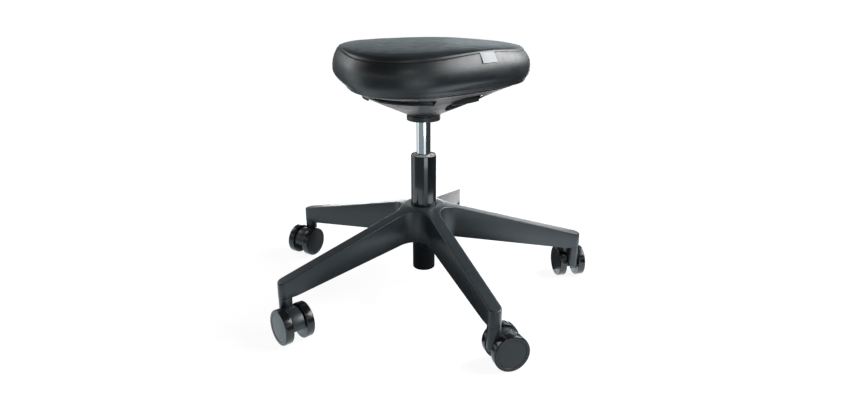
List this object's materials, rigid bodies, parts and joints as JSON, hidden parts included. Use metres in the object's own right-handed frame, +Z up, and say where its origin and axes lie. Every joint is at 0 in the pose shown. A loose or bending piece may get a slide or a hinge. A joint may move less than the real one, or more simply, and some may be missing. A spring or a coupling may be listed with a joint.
{
  "type": "perch stool",
  "caption": "Low perch stool with a lobed padded seat, a ring release under the seat, a gas-lift column and a star base on swivelling twin-wheel casters.",
  "frame": {"origin": "centre of the footprint on the floor; the column axis stands at x 8.4 mm, y -13.9 mm from it, because the swivelled casters reach further on one side", "axes": "+Z up; -Y towards the seat's front lobe, +X to the right of somebody who looks along +Y"},
  "size_m": [0.6436, 0.6375, 0.487],
  "materials": {
    "base_plastic": "matte",
    "black_enamel": "gloss",
    "grey_nylon": "satin",
    "steel": "satin",
    "black_rubber": "matte",
    "chrome": "polished",
    "shell_plastic": "matte",
    "lever_plastic": "satin",
    "leatherette": "satin",
    "foam": "matte",
    "plywood": "matte",
    "tag_fabric": "satin",
    "tyre": "gloss",
    "wheel_plastic": "satin"
  },
  "bodies": {
    "base": {"base_star": "base_plastic", "column_tube": "black_enamel", "guide_bushing": "grey_nylon", "thrust_washer_lower": "steel", "caster_1_stem": "steel", "caster_2_stem": "steel", "caster_3_stem": "steel", "caster_4_stem": "steel", "caster_5_stem": "steel"},
    "rod": {"piston_rod": "steel", "piston": "grey_nylon", "thrust_washer_upper": "steel", "bump_stop": "black_rubber", "retaining_clip": "steel"},
    "seat": {"pressure_tube": "chrome", "rod_guide": "grey_nylon", "under_shell": "shell_plastic", "seat_carrier": "steel", "rocker_pin": "steel", "seat_board": "plywood", "seat_foam": "foam", "cover_top_panel": "leatherette", "cover_side_band": "leatherette", "seat_tag": "tag_fabric", "board_bolt_1": "steel", "board_bolt_2": "steel", "board_bolt_3": "steel"},
    "ring": {"release_ring": "lever_plastic"},
    "rocker": {"release_rocker": "steel"},
    "valve": {"valve_pin": "steel"},
    "caster_1": {"caster_1_body": "base_plastic", "caster_1_axle": "steel"},
    "caster_1_left": {"caster_1_wheel_left": "wheel_plastic", "caster_1_tyre_left": "tyre"},
    "caster_1_right": {"caster_1_wheel_right": "wheel_plastic", "caster_1_tyre_right": "tyre"},
    "caster_2": {"caster_2_body": "base_plastic", "caster_2_axle": "steel"},
    "caster_2_left": {"caster_2_wheel_left": "wheel_plastic", "caster_2_tyre_left": "tyre"},
    "caster_2_right": {"caster_2_wheel_right": "wheel_plastic", "caster_2_tyre_right": "tyre"},
    "caster_3": {"caster_3_body": "base_plastic", "caster_3_axle": "steel"},
    "caster_3_left": {"caster_3_wheel_left": "wheel_plastic", "caster_3_tyre_left": "tyre"},
    "caster_3_right": {"caster_3_wheel_right": "wheel_plastic", "caster_3_tyre_right": "tyre"},
    "caster_4": {"caster_4_body": "base_plastic", "caster_4_axle": "steel"},
    "caster_4_left": {"caster_4_wheel_left": "wheel_plastic", "caster_4_tyre_left": "tyre"},
    "caster_4_right": {"caster_4_wheel_right": "wheel_plastic", "caster_4_tyre_right": "tyre"},
    "caster_5": {"caster_5_body": "base_plastic", "caster_5_axle": "steel"},
    "caster_5_left": {"caster_5_wheel_left": "wheel_plastic", "caster_5_tyre_left": "tyre"},
    "caster_5_right": {"caster_5_wheel_right": "wheel_plastic", "caster_5_tyre_right": "tyre"}
  },
  "joints": [
    {"name": "seat_swivel", "type": "hinge", "parent": "base", "child": "rod", "pos_m": [0.0084, -0.01386, 0.0475], "axis": [0, 0, 1], "continuous": true},
    {"name": "seat_lift", "type": "slide", "parent": "rod", "child": "seat", "axis": [0, 0, 1], "range_m": [-0.062, 0.068]},
    {"name": "ring_lift", "type": "slide", "parent": "seat", "child": "ring", "axis": [0, 0, 1], "range_m": [0, 0.0035], "stiffness_N_per_m": 3000, "springref_m": -0.004},
    {"name": "rocker_tilt", "type": "hinge", "parent": "seat", "child": "rocker", "pos_m": [0.0084, -0.03686, 0.4005], "axis": [-1, 0, 0], "range_deg": [0, 11.3]},
    {"name": "valve_press", "type": "slide", "parent": "seat", "child": "valve", "axis": [0, 0, 1], "range_m": [-0.0045, 0]},
    {"name": "caster_1_swivel", "type": "hinge", "parent": "base", "child": "caster_1", "pos_m": [0.29418, 0.09412, 0.06], "axis": [0, 0, 1], "continuous": true},
    {"name": "caster_1_roll_left", "type": "hinge", "parent": "caster_1", "child": "caster_1_left", "pos_m": [0.28527, 0.11314, 0.0308], "axis": [-0.9056, -0.4242, 0], "continuous": true},
    {"name": "caster_1_roll_right", "type": "hinge", "parent": "caster_1", "child": "caster_1_right", "pos_m": [0.28527, 0.11314, 0.0308], "axis": [-0.9056, -0.4242, 0], "continuous": true},
    {"name": "caster_2_swivel", "type": "hinge", "parent": "base", "child": "caster_2", "pos_m": [-0.00599, 0.2913, 0.06], "axis": [0, 0, 1], "continuous": true},
    {"name": "caster_2_roll_left", "type": "hinge", "parent": "caster_2", "child": "caster_2_left", "pos_m": [-0.02601, 0.28495, 0.0308], "axis": [0.3024, -0.9532, 0], "continuous": true},
    {"name": "caster_2_roll_right", "type": "hinge", "parent": "caster_2", "child": "caster_2_right", "pos_m": [-0.02601, 0.28495, 0.0308], "axis": [0.3024, -0.9532, 0], "continuous": true},
    {"name": "caster_3_swivel", "type": "hinge", "parent": "base", "child": "caster_3", "pos_m": [-0.28627, 0.06675, 0.06], "axis": [0, 0, 1], "continuous": true},
    {"name": "caster_3_roll_left", "type": "hinge", "parent": "caster_3", "child": "caster_3_left", "pos_m": [-0.29031, 0.04614, 0.0308], "axis": [0.9813, -0.1925, 0], "continuous": true},
    {"name": "caster_3_roll_right", "type": "hinge", "parent": "caster_3", "child": "caster_3_right", "pos_m": [-0.29031, 0.04614, 0.0308], "axis": [0.9813, -0.1925, 0], "continuous": true},
    {"name": "caster_4_swivel", "type": "hinge", "parent": "base", "child": "caster_4", "pos_m": [-0.15933, -0.2692, 0.06], "axis": [0, 0, 1], "continuous": true},
    {"name": "caster_4_roll_left", "type": "hinge", "parent": "caster_4", "child": "caster_4_left", "pos_m": [-0.14165, -0.28055, 0.0308], "axis": [0.5402, 0.8415, 0], "continuous": true},
    {"name": "caster_4_roll_right", "type": "hinge", "parent": "caster_4", "child": "caster_4_right", "pos_m": [-0.14165, -0.28055, 0.0308], "axis": [0.5402, 0.8415, 0], "continuous": true},
    {"name": "caster_5_swivel", "type": "hinge", "parent": "base", "child": "caster_5", "pos_m": [0.19941, -0.25228, 0.06], "axis": [0, 0, 1], "continuous": true},
    {"name": "caster_5_roll_left", "type": "hinge", "parent": "caster_5", "child": "caster_5_left", "pos_m": [0.21659, -0.24021, 0.0308], "axis": [-0.575, 0.8181, 0], "continuous": true},
    {"name": "caster_5_roll_right", "type": "hinge", "parent": "caster_5", "child": "caster_5_right", "pos_m": [0.21659, -0.24021, 0.0308], "axis": [-0.575, 0.8181, 0], "continuous": true}
  ],
  "couplings": [
    {"joint": "rocker_tilt", "follows": "ring_lift", "rad_per_m": 55.556},
    {"joint": "valve_press", "follows": "ring_lift", "ratio": -1.2778}
  ]
}
